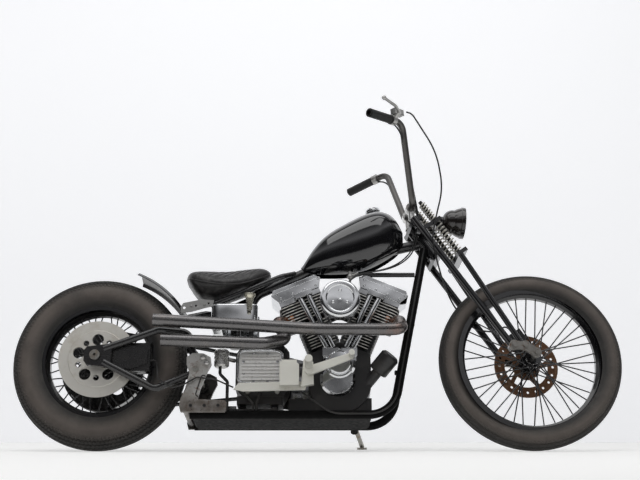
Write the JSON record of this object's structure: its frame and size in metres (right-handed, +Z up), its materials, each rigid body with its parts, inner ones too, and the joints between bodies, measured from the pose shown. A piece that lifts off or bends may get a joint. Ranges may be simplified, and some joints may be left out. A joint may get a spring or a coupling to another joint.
{
  "type": "chopper motorcycle",
  "caption": "Low rigid-looking motorcycle with a raked sprung fork, tall bars, open V engine, wire wheels and a small teardrop tank, leaning on its side stand.",
  "frame": {"origin": "middle of the bounding box, on the floor", "axes": "+X towards the front wheel, +Y to the machine's left, +Z up"},
  "size_m": [2.3071, 0.8909, 1.3276],
  "materials": {
    "tyre": "dusty grey tread",
    "black_metal": "satin black",
    "black_gloss": "deep gloss black",
    "engine_black": "black with bright fin edges",
    "chrome": "bright plating",
    "alloy": "dull cast and polished",
    "pale_alloy": "pale satin",
    "rusty_steel": "rusty brown",
    "dark_pipe": "dark grey with rust at the ports",
    "leather": "black, stitched",
    "black_rubber": "matte",
    "lens_glass": "clear, amber edge"
  },
  "bodies": {
    "frame": {"frame_backbone": "black_metal", "frame_cradle": "black_metal", "frame_rear_castings": "alloy", "swingarm": "black_metal", "swing_pivot_pin": "black_metal", "rear_axle": "chrome", "shock_absorbers": "black_metal", "crankcase": "engine_black", "cylinders": "engine_black", "cylinder_heads": "engine_black", "rocker_covers": "chrome", "air_cleaner": "chrome", "carburettor": "alloy", "pushrod_tubes": "chrome", "cam_cover": "chrome", "gearbox": "engine_black", "gearbox_cover": "alloy", "primary_cover": "engine_black", "drive_belt": "black_rubber", "exhaust_front": "dark_pipe", "exhaust_rear": "dark_pipe", "oil_filter": "black_metal", "oil_tank": "chrome", "fuel_tank": "black_gloss", "fuel_cap": "chrome", "fuel_tap": "alloy", "engine_brace": "alloy", "side_canisters": "chrome", "frame_hoses": "black_rubber", "seat": "leather", "rear_fender": "black_metal", "fender_bracket": "alloy", "rear_caliper": "black_metal", "foot_control_right": "alloy", "foot_control_left": "alloy"},
    "steering": {"fork_rear_legs": "black_metal", "fork_front_legs": "black_metal", "fork_springs": "chrome", "fork_rockers": "black_metal", "handlebar": "black_metal", "handlebar_risers": "alloy", "grips": "black_rubber", "hand_levers": "alloy", "headlamp_lens": "lens_glass", "headlamp": "black_metal", "headlamp_bracket": "black_metal", "front_caliper": "black_metal", "brake_hose": "black_rubber"},
    "front_wheel": {"front_tyre": "tyre", "front_rim": "black_metal", "front_spoked_hub": "black_metal", "front_disc": "rusty_steel"},
    "rear_wheel": {"rear_tyre": "tyre", "rear_rim": "black_metal", "rear_spoked_hub": "black_metal", "rear_disc": "pale_alloy", "rear_pulley": "black_metal"},
    "side_stand": {"side_stand": "black_metal"}
  },
  "joints": [
    {"name": "steering_head", "type": "hinge", "parent": "frame", "child": "steering", "pos_m": [0.41486, -0.03753, 0.79788], "axis": [-0.5736, 0.1703, 0.8013], "range_deg": [-32, 20]},
    {"name": "front_wheel_spin", "type": "hinge", "parent": "steering", "child": "front_wheel", "pos_m": [0.80775, -0.13013, 0.3361], "axis": [-0.0856, 0.9603, -0.2654], "continuous": true},
    {"name": "rear_wheel_spin", "type": "hinge", "parent": "frame", "child": "rear_wheel", "pos_m": [-0.82364, -0.1382, 0.32427], "axis": [0, 0.9781, -0.2079], "continuous": true},
    {"name": "side_stand_fold", "type": "hinge", "parent": "frame", "child": "side_stand", "pos_m": [0.14036, -0.03296, 0.09793], "axis": [-0.0087, 0.6264, 0.7794], "range_deg": [0, 98.1]}
  ]
}
